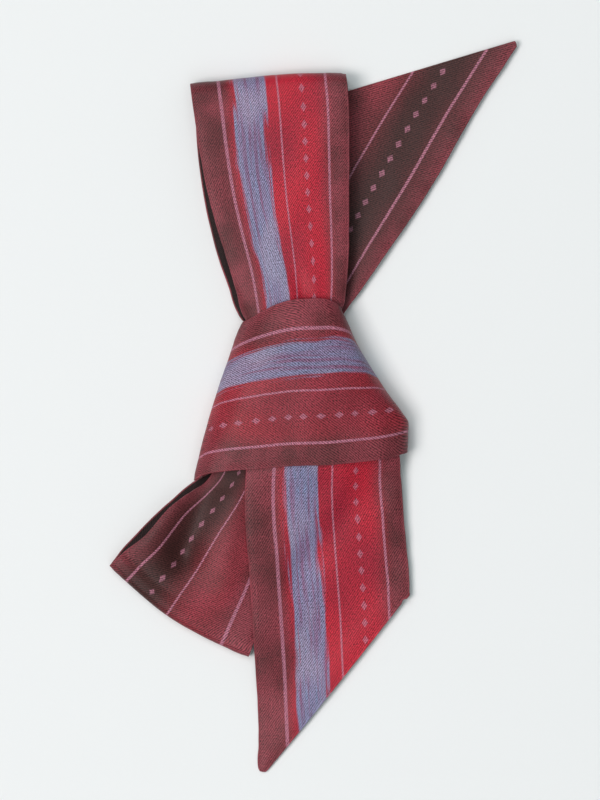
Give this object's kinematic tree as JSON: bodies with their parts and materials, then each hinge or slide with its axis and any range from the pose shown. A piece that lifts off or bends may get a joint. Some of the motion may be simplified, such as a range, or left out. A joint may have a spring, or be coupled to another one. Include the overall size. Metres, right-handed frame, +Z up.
{
  "type": "skinny silk scarf",
  "caption": "Skinny silk scarf tied in a loose knot and laid flat, with an open loop above and beside the knot and slant-cut ends lying out from it.",
  "frame": {"origin": "centre of the bounding box seen from above, on the surface the scarf lies on", "axes": "+Z up from the surface, +Y from the lower end towards the upper loop, +X to the right as seen from above"},
  "size_m": [0.1265, 0.228, 0.015],
  "materials": {
    "silk_maroon": "satin",
    "silk_crimson": "satin",
    "silk_dark_brown": "satin"
  },
  "bodies": {
    "root": {"tail_lower": "silk_crimson", "loop_upper": "silk_crimson", "knot_band": "silk_maroon", "knot_core": "silk_maroon", "loop_lower": "silk_maroon", "tail_upper": "silk_dark_brown"}
  },
  "joints": []
}
